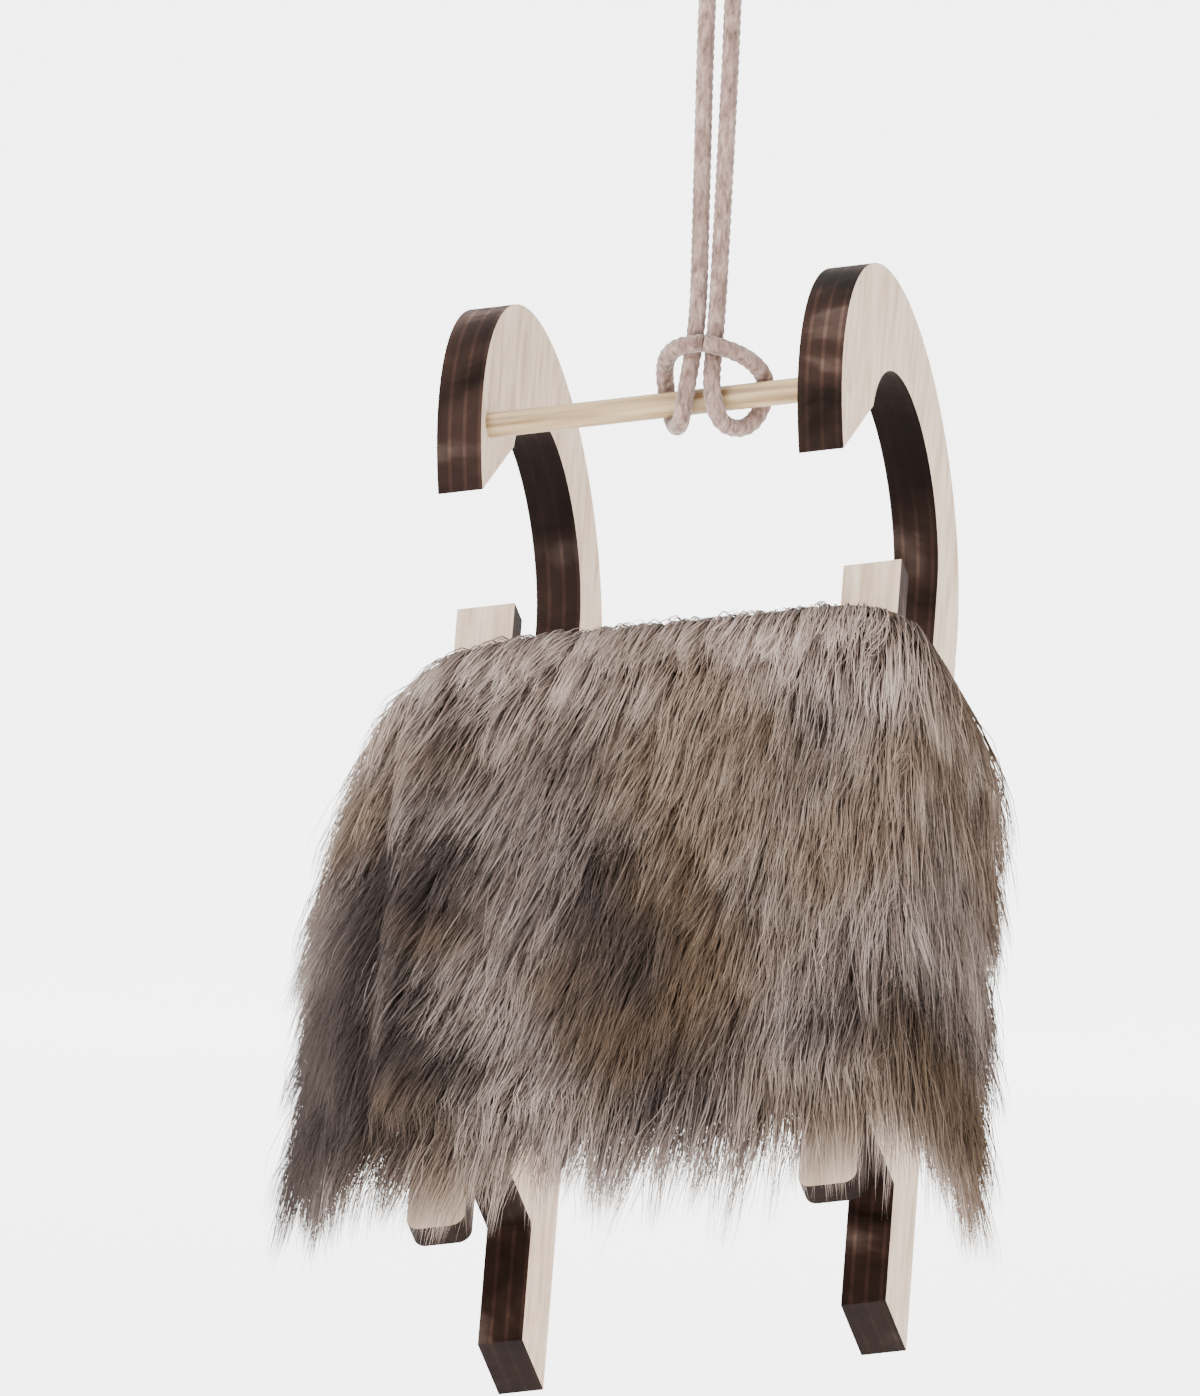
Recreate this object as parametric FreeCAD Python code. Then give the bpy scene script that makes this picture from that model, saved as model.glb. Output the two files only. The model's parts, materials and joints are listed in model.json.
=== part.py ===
"""Small hanging sled ornament: two plywood runners, a seat of two slats, a long-haired pelt and a cord.

Every piece of the sled is drawn in the sled's own directions, X across, Y along the runners towards the
nose and Z up from the soles, and is then hung nose up under the cord. Units are millimetres.
"""
import FreeCAD, Part
import math
import os

from FreeCAD import Placement, Rotation, Vector

# runners, with the curl at the nose
PLY = 4.0                    # thickness of the runner plywood
RUNNER_PITCH = 32.4          # from the middle of one runner to the middle of the other
SOLE_HEIGHT = 7.2            # depth of the straight runner
TAIL_LENGTH = 78.7           # from the centre of the curl back to the tail
CURL_RADIUS = 20.3           # outside of the curl
CURL_EYE_RADIUS = 11.7       # inside of the curl
TIP_ANGLE = -27.0            # where the curl ends outside, from straight up, towards the nose
TIP_EYE_ANGLE = 9.0          # where the curl ends inside

# posts cut in one with each runner, and the seat that they carry
POST_WIDTH = 8.0
FRONT_POST = -24.0
REAR_POST = -62.0
SLAT_THICK = 2.5
SLAT_WIDTH = 5.2
SLAT_TOP = 24.6              # height of the seat's upper face above the soles
SLAT_FRONT = -10.9
SLAT_REAR = -79.2
SLAT_OVERHANG = 1.8          # past the outer face of the runner
SLAT_CORNER = 1.2            # rounding at the slats' rear ends
BEARER_THICK = 2.5
BEARER_WIDTH = 6.0

# bamboo stick through both curls
STICK_RADIUS = 1.1
STICK_REACH = 17.9           # from the centre of the curl
STICK_ANGLE = -6.0

# pelt: its knitted backing lies on the slats, and the dense base of the hair straddles the seat over it
HIDE_THICK = 0.8
HIDE_HALF_WIDTH = 21.0
HIDE_FRONT = -15.0
HIDE_REAR = -70.0
HIDE_CORNER = 5.0
HAIR_THICK = 1.2
HAIR_FLAT_HALF_WIDTH = 22.0  # the flat part over the seat
HAIR_HALF_WIDTH = 26.5       # at the lower edge of the flanks
HAIR_LOW = 11.0
HAIR_BULGE = 1.6             # how far the flanks swell past a straight slope
HAIR_FRONT = -14.5
HAIR_REAR = -71.5
HAIR_CORNER = 12.0

# cord: a loop hitched on the stick and tied in a knot above
CORD_DIAMETER = 1.6
CORD_DROP = 41.0             # from the place where the loop hangs down to the stick
HITCH_OFFSET = 5.2           # the hitch sits this far to the right of the sled's middle
HITCH_HALF_LENGTH = 4.7
HITCH_CLEARANCE = 0.1        # running clearance round the stick
HITCH_TOP = 5.2
HITCH_NECK_HALF_WIDTH = 3.4
STRAND_LOW = 0.85            # half the strands' distance at the hitch
STRAND_HIGH = 1.3            # half their distance at the knot
KNOT_RADIUS = 2.6
KNOT_HEIGHT = 8.0

# how the sled hangs
HANG_PITCH = 52.2            # nose up
HANG_TILT = 8.5              # right side up, because the hitch is off the middle

HALF_PLY = PLY / 2
RUNNER_X = RUNNER_PITCH / 2
OUTER_X = RUNNER_X + HALF_PLY
POST_TOP = SLAT_TOP - SLAT_THICK - BEARER_THICK
EYE_CENTRE = SOLE_HEIGHT + CURL_EYE_RADIUS
STICK_Y = STICK_REACH * math.sin(math.radians(STICK_ANGLE))
STICK_Z = CURL_RADIUS + STICK_REACH * math.cos(math.radians(STICK_ANGLE))


def save(node, shape):
    """Writes one sub-part and prints what it is."""
    shape.exportStep("parts/%s.step" % node)
    print("%-20s valid %s  solids %d  volume %.1f mm3"
          % (node, shape.isValid(), len(shape.Solids), shape.Volume))


def hanging():
    """The placement that takes the sled's own directions to the hanging ones."""
    turn = Rotation(Vector(0, 1, 0), -HANG_TILT).multiply(Rotation(Vector(1, 0, 0), HANG_PITCH))
    hitch = turn.multVec(Vector(HITCH_OFFSET, STICK_Y, STICK_Z))
    return Placement(Vector(0, 0, -CORD_DROP) - hitch, turn)


def hung(shape):
    moved = shape.copy()
    moved.Placement = hanging().multiply(moved.Placement)
    return moved


def block(x, y, z):
    """A block from its low and high value along each direction."""
    size = (x[1] - x[0], y[1] - y[0], z[1] - z[0])
    return Part.makeBox(*size, Vector(x[0], y[0], z[0]))


def on_circle(radius, centre_z, angle):
    """A point of a circle in the runner's plane, from straight up, towards the nose."""
    a = math.radians(angle)
    return Vector(0, radius * math.sin(a), centre_z + radius * math.cos(a))


def arc(radius, centre_z, start, end):
    ends = [on_circle(radius, centre_z, a) for a in (start, (start + end) / 2, end)]
    return Part.Arc(*ends).toShape()


def runner_outline():
    """The runner's edge: sole, curl, slanted tip, eye of the curl, and the two posts."""
    outer = arc(CURL_RADIUS, CURL_RADIUS, 180, TIP_ANGLE)
    eye = arc(CURL_EYE_RADIUS, EYE_CENTRE, TIP_EYE_ANGLE, 180)
    corners = [on_circle(CURL_EYE_RADIUS, EYE_CENTRE, 180)]
    for post in (FRONT_POST, REAR_POST):
        front, rear = post + POST_WIDTH / 2, post - POST_WIDTH / 2
        corners += [Vector(0, front, SOLE_HEIGHT), Vector(0, front, POST_TOP)]
        corners += [Vector(0, rear, POST_TOP), Vector(0, rear, SOLE_HEIGHT)]
    corners += [Vector(0, -TAIL_LENGTH, SOLE_HEIGHT), Vector(0, -TAIL_LENGTH, 0), Vector(0, 0, 0)]
    edges = [Part.makeLine(a, b) for a, b in zip(corners, corners[1:])]
    tip = Part.makeLine(on_circle(CURL_RADIUS, CURL_RADIUS, TIP_ANGLE),
                        on_circle(CURL_EYE_RADIUS, EYE_CENTRE, TIP_EYE_ANGLE))
    return Part.Wire(Part.__sortEdges__([outer, tip, eye] + edges))


def runner(side):
    """One runner with its posts, and the hole that the stick is glued into."""
    panel = Part.Face(runner_outline()).extrude(Vector(PLY, 0, 0))
    panel.translate(Vector(side * RUNNER_X - HALF_PLY, 0, 0))
    start = Vector(side * RUNNER_X - PLY, STICK_Y, STICK_Z)
    return panel.cut(Part.makeCylinder(STICK_RADIUS, 2 * PLY, start, Vector(1, 0, 0)))


def stick():
    start = Vector(-OUTER_X, STICK_Y, STICK_Z)
    return Part.makeCylinder(STICK_RADIUS, 2 * OUTER_X, start, Vector(1, 0, 0))


def slat(side):
    """A seat slat: a flat strip over one runner, square in front and rounded behind."""
    outer = side * (OUTER_X + SLAT_OVERHANG)
    inner = outer - side * SLAT_WIDTH
    strip = block(sorted((inner, outer)), (SLAT_REAR, SLAT_FRONT), (SLAT_TOP - SLAT_THICK, SLAT_TOP))
    rear = [e for e in strip.Edges if upright(e) and e.CenterOfMass.y < SLAT_REAR + 1]
    return strip.makeFillet(SLAT_CORNER, rear)


def upright(edge):
    a, b = (v.Point for v in edge.Vertexes)
    return abs(a.x - b.x) + abs(a.y - b.y) < 1e-6


def bearer(middle):
    """A cross strip on a pair of posts, under the slats."""
    along = (middle - BEARER_WIDTH / 2, middle + BEARER_WIDTH / 2)
    return block((-OUTER_X, OUTER_X), along, (POST_TOP, POST_TOP + BEARER_THICK))


def hide():
    sheet = block((-HIDE_HALF_WIDTH, HIDE_HALF_WIDTH), (HIDE_REAR, HIDE_FRONT),
                  (SLAT_TOP, SLAT_TOP + HIDE_THICK))
    return sheet.makeFillet(HIDE_CORNER, [e for e in sheet.Edges if upright(e)])


def flank(side, top, inset):
    """One curved flank of the hair, from the flat over the seat down to its lower edge."""
    high = Vector(side * (HAIR_FLAT_HALF_WIDTH - inset / 4), 0, top)
    low = Vector(side * (HAIR_HALF_WIDTH - inset), 0, HAIR_LOW)
    slope = low - high
    out = Vector(side * abs(slope.z), 0, abs(slope.x)).normalize() * HAIR_BULGE
    return Part.Arc(high, (high + low) * 0.5 + out, low).toShape(), high, low


def hair():
    """The dense base of the hair: a saddle over the seat, open below and rounded in plan."""
    top = SLAT_TOP + HIDE_THICK
    edges = []
    ends = {}
    for side in (-1, 1):
        outer, outer_high, outer_low = flank(side, top + HAIR_THICK, 0)
        inner, inner_high, inner_low = flank(side, top, HAIR_THICK)
        edges += [outer, inner, Part.makeLine(outer_low, inner_low)]
        ends[side] = (outer_high, inner_high)
    edges += [Part.makeLine(a, b) for a, b in zip(ends[-1], ends[1])]
    saddle = Part.Face(Part.Wire(Part.__sortEdges__(edges))).extrude(Vector(0, HAIR_FRONT - HAIR_REAR, 0))
    saddle.translate(Vector(0, HAIR_REAR, 0))
    wide = HAIR_HALF_WIDTH + 2 * HAIR_BULGE
    plan = block((-wide, wide), (HAIR_REAR, HAIR_FRONT), (0, top + 2 * HAIR_THICK))
    plan = plan.makeFillet(HAIR_CORNER, [e for e in plan.Edges if upright(e)])
    return saddle.common(plan)


def hitch():
    """The outer shape of the hitch: a sleeve round the stick and the neck that the strands rise from."""
    along = Rotation(Vector(0, 1, 0), -HANG_TILT).multVec(Vector(1, 0, 0))
    middle = Vector(0, 0, -CORD_DROP)
    start = middle - along * HITCH_HALF_LENGTH
    inner = STICK_RADIUS + HITCH_CLEARANCE
    sleeve = Part.makeCylinder(inner + CORD_DIAMETER, 2 * HITCH_HALF_LENGTH, start, along)
    neck = block((-HITCH_NECK_HALF_WIDTH, HITCH_NECK_HALF_WIDTH), (-CORD_DIAMETER, CORD_DIAMETER),
                 (-CORD_DROP, HITCH_TOP - CORD_DROP))
    hole_half = 2 * HITCH_HALF_LENGTH
    hole = Part.makeCylinder(inner, 2 * hole_half, middle - along * hole_half, along)
    return sleeve.fuse(neck).removeSplitter().cut(hole)


def strand(side):
    """One taut run of the cord, from the top of the hitch to the underside of the knot."""
    low = Vector(side * STRAND_LOW, 0, HITCH_TOP - CORD_DROP)
    high = Vector(side * STRAND_HIGH, 0, 0)
    run = high - low
    tube = Part.makeCylinder(CORD_DIAMETER / 2, run.Length + 2 * CORD_DIAMETER,
                             low - run.normalize() * CORD_DIAMETER, high - low)
    reach = (-STRAND_HIGH - CORD_DIAMETER, STRAND_HIGH + CORD_DIAMETER)
    tube = tube.common(block(reach, reach, (HITCH_TOP - CORD_DROP, 0)))
    print("strand: %.2f mm long, volume over section times length %.4f"
          % ((high - low).Length, tube.Volume / (math.pi * CORD_DIAMETER ** 2 / 4 * (high - low).Length)))
    return tube


def knot():
    """The outer shape of the overhand knot and its two short ends."""
    body = Part.makeCylinder(KNOT_RADIUS, KNOT_HEIGHT, Vector(0, 0, 0))
    return body.makeFillet(KNOT_RADIUS / 2, [e for e in body.Edges if len(e.Vertexes) == 1])


def main():
    os.makedirs("parts", exist_ok=True)
    save("runner_left", hung(runner(-1)))
    save("runner_right", hung(runner(1)))
    save("curl_stick", hung(stick()))
    save("seat_slat_left", hung(slat(-1)))
    save("seat_slat_right", hung(slat(1)))
    save("bearer_front", hung(bearer(FRONT_POST)))
    save("bearer_rear", hung(bearer(REAR_POST)))
    save("pelt_hide", hung(hide()))
    save("pelt_hair", hung(hair()))
    save("cord_hitch", hitch())
    save("cord_strand_left", strand(-1))
    save("cord_strand_right", strand(1))
    save("cord_knot", knot())


main()
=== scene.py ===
"""Looks of the small hanging sled: burnt plywood, a bamboo stick, a long-haired pelt and a hitched cord."""

import json
import math

import bpy
import numpy as np
from mathutils import Matrix, Vector


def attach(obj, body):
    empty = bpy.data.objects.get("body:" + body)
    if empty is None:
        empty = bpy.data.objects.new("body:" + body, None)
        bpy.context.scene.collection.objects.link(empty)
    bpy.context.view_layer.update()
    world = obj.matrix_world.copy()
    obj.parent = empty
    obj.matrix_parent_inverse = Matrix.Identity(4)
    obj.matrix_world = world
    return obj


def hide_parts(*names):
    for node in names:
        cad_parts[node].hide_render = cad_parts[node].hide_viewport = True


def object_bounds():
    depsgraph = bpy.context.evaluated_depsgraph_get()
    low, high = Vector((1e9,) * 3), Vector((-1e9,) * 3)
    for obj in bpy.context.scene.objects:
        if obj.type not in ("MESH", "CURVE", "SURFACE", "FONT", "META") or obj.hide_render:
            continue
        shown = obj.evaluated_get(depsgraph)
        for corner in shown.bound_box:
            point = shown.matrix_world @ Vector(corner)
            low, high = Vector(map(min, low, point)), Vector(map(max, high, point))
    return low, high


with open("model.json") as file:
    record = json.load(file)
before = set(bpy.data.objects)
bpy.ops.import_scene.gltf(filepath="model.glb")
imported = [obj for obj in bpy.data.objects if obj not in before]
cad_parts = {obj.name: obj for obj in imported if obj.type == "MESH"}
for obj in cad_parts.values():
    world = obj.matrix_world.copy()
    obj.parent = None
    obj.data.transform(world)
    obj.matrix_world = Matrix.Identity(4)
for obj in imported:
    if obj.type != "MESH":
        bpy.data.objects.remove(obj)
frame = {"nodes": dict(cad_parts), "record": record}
cad_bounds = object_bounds()

MM = 0.001
SEED = 4

# how the sled hangs: its own directions are X across, Y towards the nose and Z up from the soles
HANG_PITCH = math.radians(52.2)
HANG_TILT = math.radians(8.5)
HITCH_IN_SLED = Vector((5.2, -1.871, 38.102))        # millimetres, in the sled's own directions
PIVOT = Vector(frame["record"]["behaviour"]["joints"][0]["pos_m"])
TURN = Matrix.Rotation(-HANG_TILT, 3, "Y") @ Matrix.Rotation(HANG_PITCH, 3, "X")
TURN_ARRAY = np.array(TURN)
GRAVITY = TURN_ARRAY.T @ np.array([0.0, 0.0, -1.0])  # in the sled's own directions

# camera
CAMERA_AZIMUTH = math.radians(13.7)
CAMERA_ELEVATION = math.radians(0.3)
CAMERA_ROLL = math.radians(2.25)
CAMERA_DISTANCE = 3.0
VIEW_HEIGHT = 0.1219                                 # of the frame's long side, at the sled
AIM_IN_SLED = Vector((0.0, 0.0, 20.26))
AIM_SHIFT = (-8.65, -15.78)                          # from there to the middle of the view, in millimetres

# studio, in metres: other views stand about 5 m away, and the wall is beyond them, so it blocks none
PAPER_GLOW = 3.4                                     # keeps the floor and wall pale behind the sled
FLOOR_DROP = 0.05                                    # from the sled's lowest point down to the floor
STUDIO_REACH = 8.0
WALL_DISTANCE = 6.5
WALL_BEND = 1.5
WALL_HEIGHT = 6.5
BEND_STEPS = 12
AIR_GLOW = 0.95

# pelt, in millimetres
SEAT = 25.4                                          # underside of the hair's base over the slats
BASE_THICK = 1.2
FLAT_HALF = 22.0                                     # half width of the flat part over the seat
FLANK_HALF = 26.5                                    # half width at the flanks' lower edge
FLANK_LOW = 11.0                                     # height of that edge above the soles
FLANK_BULGE = 3.2
FLANK_SLACK = 1.03                                   # the flank's curve is this much longer than straight
PELT_FRONT = -16.9
PELT_REAR = -71.5
PELT_CORNER = 12.0
HAIR_FRONT = -16.7                                   # the foremost roots
LEAN_OUT = math.radians(72.0)                        # of the hair at the lower edge of the flanks
LEAN_FROM = 6.0                                      # the hair starts to lean this far from the middle
RIGHT_LEAN = 0.75                                    # share of the lean on the right side
HAIRS = 40000
HAIR_RINGS = 6
HAIR_STRIPS = 7
HAIR_ROOT = 0.085                                    # radius
ROOT_DEPTH = 0.3                                     # of the roots in the pelt's base
SHORTEST, LONGEST = 9.0, 16.0
FRONT_DEPTH = 9                                      # behind the front edge, where the hair is shorter
BROW_DEPTH = 3                                       # behind it, where the hair rises
WAVES = 2.6
CRIMP = 0.11
CLUMPS = 1100
EDGE_SHARE, EDGE_DEPTH = 0.08, 1.3                   # extra hairs that hide the backing's front edge
LEFT_SPREAD, RIGHT_SPREAD = 1.25, 0.45               # the pelt sits to the left, and its flanks differ

# cord, in millimetres
CORD_DIAMETER = 1.6
CORD_SIDES = 18
CORD_STEP = 0.22
CORD_TURN = 2.6                                      # cord length for one turn of its plies
CORD_PLIES = 3


def hung(points):
    """Takes points in the sled's own millimetres to the frame's metres."""
    points = np.asarray(points, float) - np.array(HITCH_IN_SLED)
    return points @ TURN_ARRAY.T * MM + np.array(PIVOT)


def unit(v):
    return v / np.maximum(np.linalg.norm(v, axis=-1, keepdims=True), 1e-9)


# ---------------------------------------------------------------- materials

class Shader:
    """A material with one Principled shader and short calls that add nodes to it."""

    def __init__(self, name, roughness, specular=0.4, sheen=0.0):
        self.material = bpy.data.materials.new(name)
        self.material.use_nodes = True
        self.tree = self.material.node_tree
        self.shader = self.tree.nodes["Principled BSDF"]
        self.shader.inputs["Roughness"].default_value = roughness
        self.shader.inputs["Specular IOR Level"].default_value = specular
        self.shader.inputs["Sheen Weight"].default_value = sheen

    def node(self, kind, links=None, values=None, **settings):
        made = self.tree.nodes.new("ShaderNode" + kind)
        for name, value in settings.items():
            setattr(made, name, value)
        for name, value in (values or {}).items():
            made.inputs[name].default_value = value
        for name, output in (links or {}).items():
            self.tree.links.new(output, made.inputs[name])
        return made

    def sled_space(self, source, kind="POINT"):
        """Object coordinates or normals, turned to the sled's own directions."""
        coords = self.node("TexCoord")
        turned = self.node("Mapping", {"Vector": coords.outputs[source]}, vector_type=kind)
        back = TURN.transposed()
        turned.inputs["Rotation"].default_value = back.to_euler("XYZ")
        if kind == "POINT":
            turned.inputs["Location"].default_value = HITCH_IN_SLED * MM - back @ PIVOT
        return turned.outputs["Vector"]

    def scaled(self, vector, scale):
        return self.node("Mapping", {"Vector": vector}, {"Scale": scale}).outputs["Vector"]

    def noise(self, vector, scale, detail=4.0, distortion=0.0):
        values = {"Scale": scale, "Detail": detail, "Distortion": distortion}
        return self.node("TexNoise", {"Vector": vector}, values).outputs["Fac"]

    def ramp(self, factor, *stops):
        made = self.node("ValToRGB", {"Fac": factor})
        elements = made.color_ramp.elements
        while len(elements) < len(stops):
            elements.new(0.5)
        for element, (place, colour) in zip(elements, stops):
            element.position = place
            element.color = (*colour, 1.0)
        return made.outputs["Color"]

    def mix(self, factor, a, b, blend="MIX"):
        made = self.node("Mix", data_type="RGBA", blend_type=blend)
        for place, value in ((0, factor), (6, a), (7, b)):
            if isinstance(value, (int, float)):
                made.inputs[place].default_value = value
            elif isinstance(value, tuple):
                made.inputs[place].default_value = (*value, 1.0)
            else:
                self.tree.links.new(value, made.inputs[place])
        return made.outputs[2]

    def math(self, operation, a, b=0.0):
        made = self.node("Math", operation=operation)
        for place, value in ((0, a), (1, b)):
            if isinstance(value, (int, float)):
                made.inputs[place].default_value = value
            else:
                self.tree.links.new(value, made.inputs[place])
        return made.outputs[0]

    def colour(self, output):
        self.tree.links.new(output, self.shader.inputs["Base Color"])

    def bump(self, height, distance, strength=1.0):
        links = {"Height": height}
        values = {"Distance": distance, "Strength": strength}
        made = self.node("Bump", links, values)
        self.tree.links.new(made.outputs["Normal"], self.shader.inputs["Normal"])


def plywood(name, face_axis, grain):
    """Plywood: pale faces, and laser-burnt edges with faint plies, with painted shade that makes the edges
    facing the tail darkest.
    """
    s = Shader(name, 0.78, 0.05)
    place = s.sled_space("Object")
    normal = s.node("SeparateXYZ", {"Vector": s.sled_space("Normal", "VECTOR")})
    on_face = s.math("GREATER_THAN", s.math("ABSOLUTE", normal.outputs[face_axis]), 0.8)

    fibres = s.noise(s.scaled(place, grain), 1.0, 5.0, 0.4)
    pale = s.ramp(fibres, (0.30, (0.37, 0.270, 0.190)), (0.52, (0.50, 0.385, 0.290)),
                  (0.75, (0.59, 0.480, 0.375)))
    clouds = s.noise(place, 90.0, 3.0)
    tint = s.ramp(clouds, (0.35, (0.90, 0.88, 0.87)), (0.70, (1.0, 1.0, 1.0)))
    pale = s.mix(1.0, pale, tint, "MULTIPLY")

    scorch = s.noise(place, 130.0, 5.0, 0.6)
    burnt = s.ramp(scorch, (0.34, (0.006, 0.003, 0.002)), (0.56, (0.030, 0.016, 0.012)),
                   (0.80, (0.120, 0.080, 0.066)))
    across = s.node("SeparateXYZ", {"Vector": place}).outputs[face_axis]
    plies = s.math("SINE", s.math("MULTIPLY", across, 4700.0))
    veins = s.ramp(plies, (0.50, (0.75, 0.74, 0.74)), (0.95, (1.30, 1.26, 1.24)))
    burnt = s.mix(1.0, burnt, veins, "MULTIPLY")
    # painted shade: edges that face the tail are darkened further, towards nearly black
    to_tail = s.math("MULTIPLY", normal.outputs[1], -1.0)
    tail_shade = s.ramp(to_tail, (0.10, (0, 0, 0)), (0.75, (0.85, 0.85, 0.85)))
    burnt = s.mix(tail_shade, burnt, (0.004, 0.002, 0.0015))

    s.colour(s.mix(on_face, burnt, pale))
    s.bump(fibres, 0.00006, 0.8)
    return s.material


def bamboo():
    s = Shader("bamboo", 0.5, 0.3)
    place = s.sled_space("Object")
    fibres = s.noise(s.scaled(place, (70, 1500, 1500)), 1.0, 4.0)
    s.colour(s.ramp(fibres, (0.30, (0.15, 0.085, 0.036)), (0.50, (0.30, 0.200, 0.100)),
                    (0.72, (0.42, 0.305, 0.175))))
    s.bump(fibres, 0.00005, 0.7)
    return s.material


def cord_fibre():
    """Soft twisted cord, mauve-brown with paler fibres."""
    s = Shader("cord_fibre", 0.85, 0.15, 0.25)
    coords = s.node("TexCoord").outputs["Object"]
    fibres = s.noise(s.scaled(coords, (2600, 2600, 700)), 1.0, 5.0, 0.5)
    stain = s.noise(coords, 260.0, 3.0)
    soft = s.ramp(fibres, (0.30, (0.085, 0.052, 0.041)), (0.52, (0.20, 0.133, 0.110)),
                  (0.74, (0.33, 0.240, 0.205)))
    tint = s.ramp(stain, (0.35, (0.78, 0.72, 0.70)), (0.68, (1.0, 1.0, 1.0)))
    s.colour(s.mix(1.0, soft, tint, "MULTIPLY"))
    s.bump(fibres, 0.00010, 0.8)
    return s.material


def pelt_back():
    """The pelt's knitted backing, seen from below and between the hairs."""
    s = Shader("pelt_back", 0.95, 0.05)
    place = s.sled_space("Object")
    knit = s.node("TexWave", {"Vector": place}, {"Scale": 260.0, "Distortion": 1.2, "Detail": 2.0})
    cross = s.node("TexWave", {"Vector": place}, {"Scale": 210.0, "Distortion": 1.0}, bands_direction="Y")
    weave = s.math("MULTIPLY", knit.outputs["Fac"], cross.outputs["Fac"])
    s.colour(s.ramp(weave, (0.0, (0.040, 0.027, 0.020)), (0.6, (0.125, 0.088, 0.064))))
    s.bump(weave, 0.00020, 0.8)
    return s.material


def hair_material():
    """Hair, paler at its tips and warmer to the right: its UVs hold the place along it and its tone."""
    s = Shader("pelt_hair", 0.6, 0.22)
    uv = s.node("SeparateXYZ", {"Vector": s.node("TexCoord").outputs["UV"]})
    along, tone = uv.outputs[0], uv.outputs[1]
    dark = s.ramp(along, (0.0, (0.008, 0.005, 0.004)), (0.60, (0.021, 0.0135, 0.0115)),
                  (1.0, (0.062, 0.043, 0.037)))
    fair = s.ramp(along, (0.0, (0.060, 0.040, 0.031)), (0.40, (0.27, 0.195, 0.158)),
                  (1.0, (0.70, 0.575, 0.505)))
    gold = s.ramp(along, (0.0, (0.030, 0.016, 0.008)), (0.60, (0.125, 0.074, 0.036)),
                  (1.0, (0.25, 0.165, 0.095)))
    place = s.sled_space("Object")
    to_right = s.math("MULTIPLY", s.node("SeparateXYZ", {"Vector": place}).outputs[0], 4.0)
    warmth = s.math("ADD", s.noise(place, 55.0, 2.0), to_right)
    warm = s.ramp(warmth, (0.44, (0, 0, 0)), (0.66, (1, 1, 1)))
    mixed = s.mix(tone, dark, fair)
    s.colour(s.mix(s.math("MULTIPLY", warm, 0.58), mixed, gold))
    return s.material


def floor_material():
    s = Shader("studio_paper", 0.9, 0.1)
    coords = s.node("TexCoord").outputs["Object"]
    s.colour(s.ramp(s.noise(coords, 30.0, 2.0), (0.3, (0.90, 0.90, 0.90)), (0.7, (0.92, 0.92, 0.92))))
    s.shader.inputs["Emission Color"].default_value = (1.0, 1.0, 1.0, 1.0)
    s.shader.inputs["Emission Strength"].default_value = PAPER_GLOW
    return s.material


# ---------------------------------------------------------------- mesh helpers

def new_object(name, mesh, material):
    made = bpy.data.objects.new(name, mesh)
    bpy.context.scene.collection.objects.link(made)
    mesh.materials.append(material)
    return made


def mesh_of(name, vertices, faces, smooth=True):
    mesh = bpy.data.meshes.new(name)
    mesh.from_pydata(vertices.tolist(), [], faces)
    mesh.polygons.foreach_set("use_smooth", [smooth] * len(mesh.polygons))
    mesh.update()
    return mesh


def set_uv(mesh, uv_of_vertex):
    corners = np.empty(len(mesh.loops), np.int32)
    mesh.loops.foreach_get("vertex_index", corners)
    layer = mesh.uv_layers.new(name="UVMap")
    layer.data.foreach_set("uv", uv_of_vertex[corners].astype(np.float32).ravel())


def dress(nodes, material):
    """Gives CAD nodes that stay as they are their material."""
    for node in nodes:
        mesh = frame["nodes"][node].data
        mesh.materials.clear()
        mesh.materials.append(material)


# ---------------------------------------------------------------- pelt

def section(s):
    """The pelt's cross-section: s is the distance from the middle, across. Gives x, z and the normal."""
    side = np.where(s < 0, -1.0, 1.0)
    over = np.abs(s) - FLAT_HALF
    top = SEAT + BASE_THICK
    high, low = np.array([FLAT_HALF, top]), np.array([FLANK_HALF, FLANK_LOW])
    out = np.array([top - FLANK_LOW, FLANK_HALF - FLAT_HALF]) / np.linalg.norm(low - high)
    bend = (high + low) / 2 + out * FLANK_BULGE
    f = np.clip(over / flank_length(), 0, 1)[:, None]
    curve = (1 - f) ** 2 * high + 2 * f * (1 - f) * bend + f ** 2 * low
    slope = unit(2 * (1 - f) * (bend - high) + 2 * f * (low - bend))
    flat = over <= 0
    spread = np.where(s < 0, LEFT_SPREAD, RIGHT_SPREAD)
    x = np.where(flat, s, side * (FLAT_HALF + (curve[:, 0] - FLAT_HALF) * spread))
    z = np.where(flat, top, curve[:, 1])
    normal_x = np.where(flat, 0.0, -side * slope[:, 1])
    normal_z = np.where(flat, 1.0, slope[:, 0])
    return x, z, normal_x, normal_z


def flank_length():
    return math.hypot(FLANK_HALF - FLAT_HALF, SEAT + BASE_THICK - FLANK_LOW) * FLANK_SLACK


def inside_plan(x, y):
    """Whether a point lies within the pelt's rounded outline."""
    dx = np.abs(x) - (FLANK_HALF - PELT_CORNER)
    middle, half = (PELT_FRONT + PELT_REAR) / 2, (PELT_FRONT - PELT_REAR) / 2
    dy = np.abs(y - middle) - (half - PELT_CORNER)
    corner = (dx > 0) & (dy > 0) & (np.hypot(dx, dy) > PELT_CORNER)
    return ~corner


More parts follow.
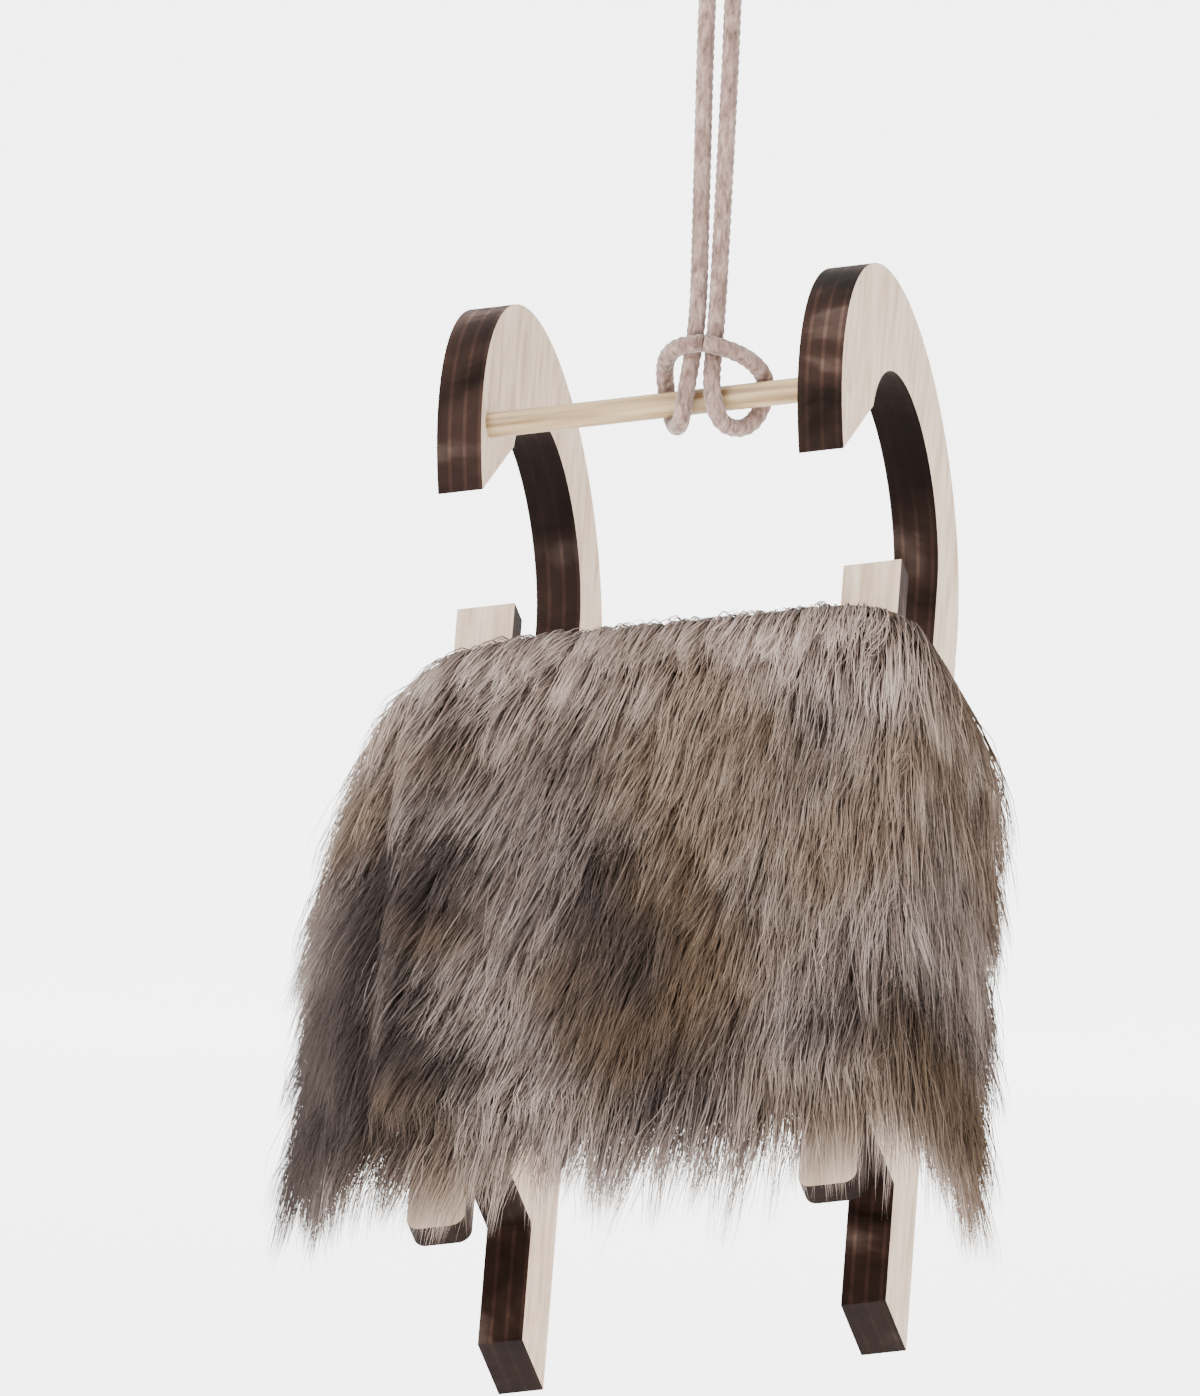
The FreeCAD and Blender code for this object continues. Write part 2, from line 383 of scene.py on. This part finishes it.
def pelt_backing():
    """The backing as one thin sheet that lies on the slats and hangs over their outer sides."""
    across, along = 56, 48
    reach = FLAT_HALF + flank_length()
    s = np.linspace(-reach, reach, across + 1)
    x, z, normal_x, normal_z = section(s)
    middle, half = (PELT_FRONT + PELT_REAR) / 2, (PELT_FRONT - PELT_REAR) / 2
    vertices, faces = [], []
    for depth in (0.05, BASE_THICK - 0.05):
        for j in range(along + 1):
            over = np.maximum(np.abs(x) - (FLANK_HALF - PELT_CORNER), 0.0)
            cut = PELT_CORNER - np.sqrt(np.maximum(PELT_CORNER ** 2 - over ** 2, 0.0))
            y = middle + (half - cut) * (2 * j / along - 1)
            ripple = 0.12 * np.sin(0.5 * y + 0.21 * x)
            inset = depth + np.where(np.abs(s) > FLAT_HALF, ripple, 0.0)
            vertices.append(np.stack([x - normal_x * inset, y, z - normal_z * inset], 1))
    vertices = np.concatenate(vertices)
    row, layer = across + 1, (across + 1) * (along + 1)
    for j in range(along):
        for i in range(across):
            a = j * row + i
            quad = [a, a + 1, a + row + 1, a + row]
            faces.append(quad)
            faces.append([layer + v for v in reversed(quad)])
    rim = [j for j in range(row)]
    rim += [j * row + across for j in range(1, along + 1)]
    rim += [along * row + i for i in range(across - 1, -1, -1)]
    rim += [j * row for j in range(along - 1, 0, -1)]
    for a, b in zip(rim, rim[1:] + rim[:1]):
        faces.append([b, a, layer + a, layer + b])
    return new_object("pelt_backing", mesh_of("pelt_backing", hung(vertices), faces), pelt_back())


def roots(random, count):
    """Places of hair roots, spread over the pelt, and directions off it that turn smoothly outwards."""
    reach = FLAT_HALF + flank_length()
    s = random.uniform(-reach, reach, count * 2)
    y = random.uniform(PELT_REAR, HAIR_FRONT, count * 2)
    crown = 0.9 * np.sin(0.42 * s + 0.8) * np.sin(0.17 * s) * np.clip((y - HAIR_FRONT + 4) / 4, 0, 1)
    edge = random.random(count * 2) < EDGE_SHARE
    y = np.where(edge, HAIR_FRONT - EDGE_DEPTH * random.random(count * 2), y + np.minimum(crown, 0.1))
    x, z, _, _ = section(s)
    kept = np.flatnonzero(inside_plan(x, y))[:count]
    place = np.stack([x, y, z - ROOT_DEPTH], 1)[kept]
    f = np.clip((np.abs(s[kept]) - LEAN_FROM) / (reach - LEAN_FROM), 0, 1)
    lean = LEAN_OUT * f * f * (3 - 2 * f) * np.where(s[kept] < 0, -1.0, RIGHT_LEAN)
    normal = np.stack([np.sin(lean), np.zeros_like(lean), np.cos(lean)], 1)
    return place, normal


def ground(x, y):
    """Height of the pelt's base under a point, or far below where there is none."""
    top = SEAT + BASE_THICK
    f = np.clip((np.abs(x) - FLAT_HALF) / (FLANK_HALF - FLAT_HALF), 0, 1)
    height = top - (top - FLANK_LOW) * f ** 1.7
    return np.where((np.abs(x) < FLANK_HALF) & (y > PELT_REAR), height, -99.0)


# dark patches in the coat, where they show: place across and along the sled, size, and depth
DARK_PATCHES = (
    (-17.2, -48.5, 6.2, 1.35),
    (-16.0, -33.0, 5.0, 0.75),
    (-4.5, -34.5, 4.8, 0.80),
    (-24.5, -40.0, 3.2, 0.60),
    (0.0, -50.5, 6.2, 1.10),
    (6.0, -56.0, 4.0, 0.75),
    (1.5, -63.0, 6.8, 1.30),
    (6.0, -71.0, 4.8, 0.95),
    (-25.0, -58.0, 6.2, 1.15),
    (-24.5, -67.0, 5.6, 1.05),
    (-18.0, -72.0, 5.6, 1.20),
    (-19.5, -69.0, 5.8, 1.20),
    (13.5, -36.0, 4.6, 0.65),
    (20.5, -67.0, 5.4, 0.90),
    (30.5, -47.0, 3.8, 0.80),
    (30.0, -69.0, 3.8, 0.80),
    (13.5, -52.0, 3.0, 0.30),
)
COMBED_BACK = 10.0                                   # from a hair's root back to where it mostly shows
# how long the hair is across the pelt's rear half: place across, in millimetres, and share of its length
TUFTS = ((-30, 1.0), (-25, 1.15), (-22, 1.1), (-18, 0.95), (-12, 1.0), (-7, 0.75),
         (0, 1.2), (5, 0.95), (9, 1.1), (16, 0.9), (20, 0.95), (27, 1.2))
FAIR_TOP = -18.0                                     # the coat is fairer in front of this
FAIR_FADE = 9.0
REAR_TONE, FRONT_TONE = 0.51, 0.47                   # the front's is added to the rear's
PATCH_STRENGTH = 0.62
PATCH_SQUASH = 0.85                                  # patches are longer along the sled than across
TONE_SCATTER = 0.17


def hair_tone(random, place):
    """From 0, dark, to 1, fair, for each hair."""
    tone = REAR_TONE + FRONT_TONE / (1 + np.exp(-(place[:, 1] - FAIR_TOP) / FAIR_FADE * 4 - 2))
    for x, y, size, depth in DARK_PATCHES:
        away = np.hypot(place[:, 0] - x, (place[:, 1] - COMBED_BACK - y) * PATCH_SQUASH) / size
        tone -= depth * PATCH_STRENGTH * np.exp(-away ** 2)
    return np.clip(tone + random.normal(0, TONE_SCATTER, len(place)), 0.02, 1.0)


def hair_curves(random, place, normal):
    """The points of every hair: it lifts off the pelt, is combed towards the tail and falls.

    At the brow, the pelt's front edge, it rises first, and low on the left flank it turns inwards.
    """
    count = len(place)
    fan = place[:, 0] / FLANK_HALF
    front = np.clip((place[:, 1] - (HAIR_FRONT - FRONT_DEPTH)) / FRONT_DEPTH, 0, 1)
    comb = np.stack([0.30 * fan - 0.17, -np.ones(count), np.zeros(count)], 1)
    lift = random.uniform(0.35, 0.95, count)[:, None]
    brow = np.clip((place[:, 1] - (HAIR_FRONT - BROW_DEPTH)) / BROW_DEPTH, 0, 1)
    start = unit(comb * (1 - 0.45 * brow[:, None])
                 + normal * (lift * (1 + 0.4 * front[:, None]) + 0.3 * brow[:, None])
                 + random.normal(0, 0.11, (count, 3)))
    side = np.clip(np.abs(place[:, 0]) - FLAT_HALF + 4, 0, 6)[:, None] / 6
    low_left = np.clip((-place[:, 0] - 14) / 8, 0, 1) * np.clip((-46 - place[:, 1]) / 14, 0, 1)
    inward = np.stack([0.34 * low_left, np.zeros(count), np.zeros(count)], 1)
    end = unit(comb * 0.55 + GRAVITY * (0.75 + 0.3 * side) + normal * 0.10 + inward
               + random.normal(0, 0.12, (count, 3)))
    length = random.uniform(SHORTEST, LONGEST, count) * (1 - 0.25 * front) * (1 - 0.35 * brow)
    rear = np.clip((-50 - place[:, 1]) / 12, 0, 1)
    length *= 1 + rear * (np.interp(place[:, 0], *zip(*TUFTS)) - 1)
    phase = random.uniform(0, 2 * math.pi, count)
    crimp = random.normal(0, CRIMP, (count, 3))
    steps = HAIR_RINGS - 1
    curves = [place]
    for i in range(steps):
        t = (i + 0.5) / steps
        blend = t ** 0.8
        wave = np.sin(phase + WAVES * math.pi * t)[:, None] * crimp
        heading = unit(start * (1 - blend) + end * blend + wave)
        curves.append(curves[-1] + heading * (length / steps)[:, None])
    return np.stack(curves, 1)


def clumped(random, curves):
    """Draws each hair's end towards the middle hair of its clump, so that the coat parts into locks."""
    centres = random.choice(len(curves), CLUMPS, replace=False)
    root = curves[:, 0]
    nearest = np.empty(len(curves), np.int64)
    for start in range(0, len(curves), 2000):
        part = root[start:start + 2000, None] - root[centres][None]
        nearest[start:start + 2000] = np.argmin((part ** 2).sum(2), 1)
    stretch = random.uniform(0.86, 1.16, CLUMPS)[nearest]
    leader = curves[centres][nearest]
    t = np.linspace(0, 1, HAIR_RINGS)[None, :, None]
    grip = random.uniform(0.35, 0.85, len(curves))[:, None, None]
    offset = (root - leader[:, 0])[:, None] * 0.35
    drawn = curves + (leader + offset - curves) * grip * t ** 1.4
    return drawn[:, :1] + (drawn - drawn[:, :1]) * stretch[:, None, None]


def rest_on_pelt(random, curves):
    """Keeps every hair above the pelt's base, in layers."""
    t = np.linspace(0, 1, HAIR_RINGS)[None, :]
    layer = random.uniform(0.3, 4.5, len(curves))[:, None] * t ** 0.7
    floor = ground(curves[..., 0], curves[..., 1]) + layer
    curves[..., 2] = np.maximum(curves[..., 2], floor)
    return curves


def hair_mesh(name, curves, tone, radius):
    """One closed three-sided tapering blade for each hair."""
    count, rings = curves.shape[:2]
    heading = unit(np.gradient(curves, axis=1))
    reference = np.array([0.31, 0.22, 0.92])
    a = unit(np.cross(heading, reference))
    b = np.cross(heading, a)
    t = np.linspace(0, 1, rings)
    taper = ((1 - t) ** 0.75)[None, :, None] * radius[:, None, None]
    corners = []
    for k in range(3):
        turn = 2 * math.pi * k / 3
        corners.append(curves + (a * math.cos(turn) + b * math.sin(turn) * 0.7) * taper)
    body = np.stack(corners, 2)[:, :-1]
    vertices = np.concatenate([body.reshape(count, -1, 3), curves[:, -1:]], 1)
    per_hair = 3 * (rings - 1) + 1
    pattern = [[0, 2, 1]]
    for i in range(rings - 2):
        for k in range(3):
            j = (k + 1) % 3
            pattern.append([3 * i + k, 3 * i + j, 3 * i + 3 + j, 3 * i + 3 + k])
    last = 3 * (rings - 2)
    pattern += [[last + k, last + (k + 1) % 3, per_hair - 1] for k in range(3)]
    faces = []
    for h in range(count):
        base = h * per_hair
        faces.extend([[base + v for v in face] for face in pattern])
    mesh = mesh_of(name, hung(vertices.reshape(-1, 3)), faces)
    along = np.concatenate([np.repeat(t[:-1], 3), [1.0]])
    uv = np.stack([np.tile(along, count), np.repeat(tone, per_hair)], 1)
    set_uv(mesh, uv)
    return mesh


def pelt_hairs():
    """The coat, in strips across the sled, each a piece of its own."""
    random = np.random.default_rng(SEED)
    place, normal = roots(random, HAIRS)
    tone = hair_tone(random, place)
    curves = clumped(random, hair_curves(random, place, normal))
    curves = rest_on_pelt(random, curves)
    radius = HAIR_ROOT * random.uniform(0.55, 1.15, len(curves))
    material = hair_material()
    pieces = []
    order = np.argsort(place[:, 0])
    for i, strip in enumerate(np.array_split(order, HAIR_STRIPS)):
        name = "hair_strip_%d" % (i + 1)
        mesh = hair_mesh(name, curves[strip], tone[strip], radius[strip])
        pieces.append(new_object(name, mesh, material))
    return pieces


# ---------------------------------------------------------------- cord

# the two halves of the cord, from the middle of the bight in front of the hitch, round the stick and up to
# the end past the knot, in millimetres from the stick's axis at the hitch
LEFT_ROUTE = (
    (0.4, -2.7, 5.0), (-1.5, -2.3, 4.9), (-3.4, -0.6, 3.9), (-4.1, 1.6, 2.0), (-3.5, 2.1, -1.2),
    (-2.5, 0.4, -2.6), (-1.5, -2.0, -1.8), (-1.1, -2.1, 1.3), (-0.9, -0.9, 4.6), (-0.85, 0.0, 8.5),
    (-0.95, 0.0, 15.0), (-1.25, 0.0, 38.5), (-0.5, 0.3, 43.0), (-1.3, 0.0, 48.6),
)
RIGHT_ROUTE = (
    (0.4, -2.7, 5.0), (2.3, -2.4, 4.7), (4.4, -0.7, 3.6), (5.2, 1.6, 1.9), (4.6, 2.1, -0.9),
    (3.4, 0.5, -2.5), (1.8, -1.9, -1.9), (1.0, -2.1, 1.2), (0.9, -0.9, 4.6), (0.85, 0.0, 8.5),
    (0.95, 0.0, 15.0), (1.25, 0.0, 38.5), (0.5, -0.3, 43.0), (1.3, 0.0, 48.6),
)
KNOT_SIZE = 1.15


def route_spline(name, route):
    """One open NURBS line through a cord's route, which the tube then follows."""
    curve = bpy.data.curves.new(name, "CURVE")
    curve.dimensions = "3D"
    curve.resolution_u = 24
    spline = curve.splines.new("NURBS")
    spline.points.add(len(route) - 1)
    for point, place in zip(spline.points, route):
        point.co = (*(PIVOT + Vector(place) * MM), 1.0)
    spline.order_u = 3
    spline.use_endpoint_u = True
    carrier = bpy.data.objects.new(name, curve)
    bpy.context.scene.collection.objects.link(carrier)
    line = bpy.data.meshes.new_from_object(carrier)
    points = np.array([v.co for v in line.vertices])
    bpy.data.objects.remove(carrier)
    return points


def even(points, step):
    """The same line with its points evenly spaced."""
    gaps = np.linalg.norm(np.diff(points, axis=0), axis=1)
    reach = np.concatenate([[0], np.cumsum(gaps)])
    places = np.linspace(0, reach[-1], int(reach[-1] / step) + 1)
    return np.stack([np.interp(places, reach, points[:, k]) for k in range(3)], 1), places


def tube(points, radius_at, sides, closed=False):
    """Vertices and faces of a tube: radius_at gives the radius for a ring's place and a corner's angle."""
    count = len(points)
    if closed:
        heading = unit(np.roll(points, -1, 0) - np.roll(points, 1, 0))
    else:
        heading = unit(np.gradient(points, axis=0))
    normal = unit(np.cross(heading[0], np.array([0.3, 1.0, 0.2])))
    vertices = []
    for i in range(count):
        normal = unit(normal - heading[i] * np.dot(normal, heading[i]))
        other = np.cross(heading[i], normal)
        for k in range(sides):
            a = 2 * math.pi * k / sides
            vertices.append(points[i] + (normal * math.cos(a) + other * math.sin(a)) * radius_at(i, a))
    faces = []
    for i in range(count if closed else count - 1):
        j = (i + 1) % count
        for k in range(sides):
            m = (k + 1) % sides
            faces.append([i * sides + k, i * sides + m, j * sides + m, j * sides + k])
    if not closed:
        faces.append(list(range(sides))[::-1])
        faces.append([(count - 1) * sides + k for k in range(sides)])
    return np.array(vertices), faces


def plied(places):
    """The radius of a cord of three plies laid together, at each ring and angle."""
    def radius_at(i, angle):
        phase = angle - 2 * math.pi * places[i] / (CORD_TURN * MM)
        return CORD_DIAMETER / 2 * MM * (0.86 + 0.14 * abs(math.cos(phase * CORD_PLIES / 2)) ** 0.8)
    return radius_at


def cord_half(name, route, material):
    points, places = even(route_spline(name + "_route", route), CORD_STEP * MM)
    vertices, faces = tube(points, plied(places), CORD_SIDES)
    return new_object(name, mesh_of(name, vertices, faces), material), points, float(places[-1])


def cord_knot(material):
    """An overhand knot of the same cord, drawn small round both strands."""
    centre = np.array(PIVOT) + np.array([0, 0, 43.6 * MM])
    count = 150
    t = np.linspace(0, 2 * math.pi, count, endpoint=False)
    across = np.sin(t) + 1.35 * np.sin(2 * t)
    along = np.cos(t) - 1.35 * np.cos(2 * t)
    over = -1.25 * np.sin(3 * t)
    ring = np.stack([across, along, over], 1)
    points = centre + ring[:, [0, 2, 1]] * np.array([0.75, 0.9, 0.78]) * KNOT_SIZE * MM
    gaps = np.linalg.norm(np.roll(points, -1, 0) - points, axis=1)
    places = np.concatenate([[0], np.cumsum(gaps)[:-1]])
    vertices, faces = tube(points, plied(places), CORD_SIDES, closed=True)
    return new_object("cord_knot_tie", mesh_of("cord_knot_tie", vertices, faces), material)


# ---------------------------------------------------------------- the object

def build_wood():
    along_sled = (1400, 90, 1400)
    dress(["runner_left", "runner_right"], plywood("runner_plywood", 0, (1400, 110, 900)))
    dress(["seat_slat_left", "seat_slat_right"], plywood("slat_plywood", 2, along_sled))
    dress(["bearer_front", "bearer_rear"], plywood("bearer_plywood", 2, (90, 1400, 1400)))
    dress(["curl_stick"], bamboo())


def build_pelt():
    backing = pelt_backing()
    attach(backing, "sled")
    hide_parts("pelt_hide", "pelt_hair")
    hairs = pelt_hairs()
    for piece in hairs:
        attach(piece, "sled")


def build_cord():
    material = cord_fibre()
    knot = cord_knot(material)
    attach(knot, "cord")
    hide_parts("cord_knot")
    halves = (("cord_left", LEFT_ROUTE, ("cord_strand_left", "cord_hitch")),
              ("cord_right", RIGHT_ROUTE, ("cord_strand_right",)))
    for name, route, nodes in halves:
        piece, path, length = cord_half(name, route, material)
        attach(piece, "cord")
        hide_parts(*nodes)


# ---------------------------------------------------------------- studio

def build_studio():
    """A pale floor that curves up into a wall behind, and soft light from above, in front and the left."""
    low = cad_bounds[0][2] - FLOOR_DROP
    profile = [(-STUDIO_REACH, low), (WALL_DISTANCE - WALL_BEND, low)]
    for i in range(1, BEND_STEPS + 1):
        a = math.radians(90 * i / BEND_STEPS)
        profile.append((WALL_DISTANCE - WALL_BEND * (1 - math.sin(a)), low + WALL_BEND * (1 - math.cos(a))))
    profile.append((WALL_DISTANCE, low + WALL_HEIGHT))
    vertices = np.array([(x, y, z) for x in (-STUDIO_REACH, STUDIO_REACH) for y, z in profile])
    n = len(profile)
    faces = [[i, i + 1, n + i + 1, n + i] for i in range(n - 1)]
    floor = new_object("studio_floor", mesh_of("studio_floor", vertices, faces), floor_material())

    world = bpy.data.worlds.new("studio_air")
    bpy.context.scene.world = world
    world.use_nodes = True
    background = world.node_tree.nodes["Background"]
    background.inputs["Color"].default_value = (1.0, 1.0, 1.0, 1.0)
    background.inputs["Strength"].default_value = AIR_GLOW

    target = Vector((0, 0, -0.07))
    lamps = (("key", (-0.45, -0.75, 0.55), 0.45, 22.0), ("fill", (0.75, -0.55, 0.1), 0.6, 3.0),
             ("top", (0.0, 0.1, 0.85), 0.7, 6.0))
    for name, place, size, power in lamps:
        data = bpy.data.lights.new(name, "AREA")
        data.size = size
        data.energy = power
        lamp = bpy.data.objects.new(name, data)
        lamp.location = place
        lamp.rotation_euler = (target - Vector(place)).to_track_quat("-Z", "Y").to_euler()
        bpy.context.scene.collection.objects.link(lamp)


def build_camera():
    """A long lens in front of the sled, slightly to its right and rolled."""
    a, e = CAMERA_AZIMUTH, CAMERA_ELEVATION
    back = Vector((math.sin(a) * math.cos(e), -math.cos(a) * math.cos(e), math.sin(e)))
    level = Vector((math.cos(a), math.sin(a), 0))
    upright = back.cross(level)
    right = level * math.cos(CAMERA_ROLL) + upright * math.sin(CAMERA_ROLL)
    up = back.cross(right)
    aim = Vector(hung([AIM_IN_SLED])[0]) + (right * AIM_SHIFT[0] + up * AIM_SHIFT[1]) * MM
    data = bpy.data.cameras.new("camera")
    data.sensor_fit = "VERTICAL"
    data.sensor_height = 36.0
    data.lens = 36.0 * CAMERA_DISTANCE / VIEW_HEIGHT
    data.clip_start = 0.01
    camera = bpy.data.objects.new("camera", data)
    turn = Matrix((right, up, back)).transposed()
    camera.matrix_world = Matrix.Translation(aim + back * CAMERA_DISTANCE) @ turn.to_4x4()
    bpy.context.scene.collection.objects.link(camera)
    bpy.context.scene.camera = camera


build_camera()
build_cord()
build_wood()
build_pelt()
build_studio()
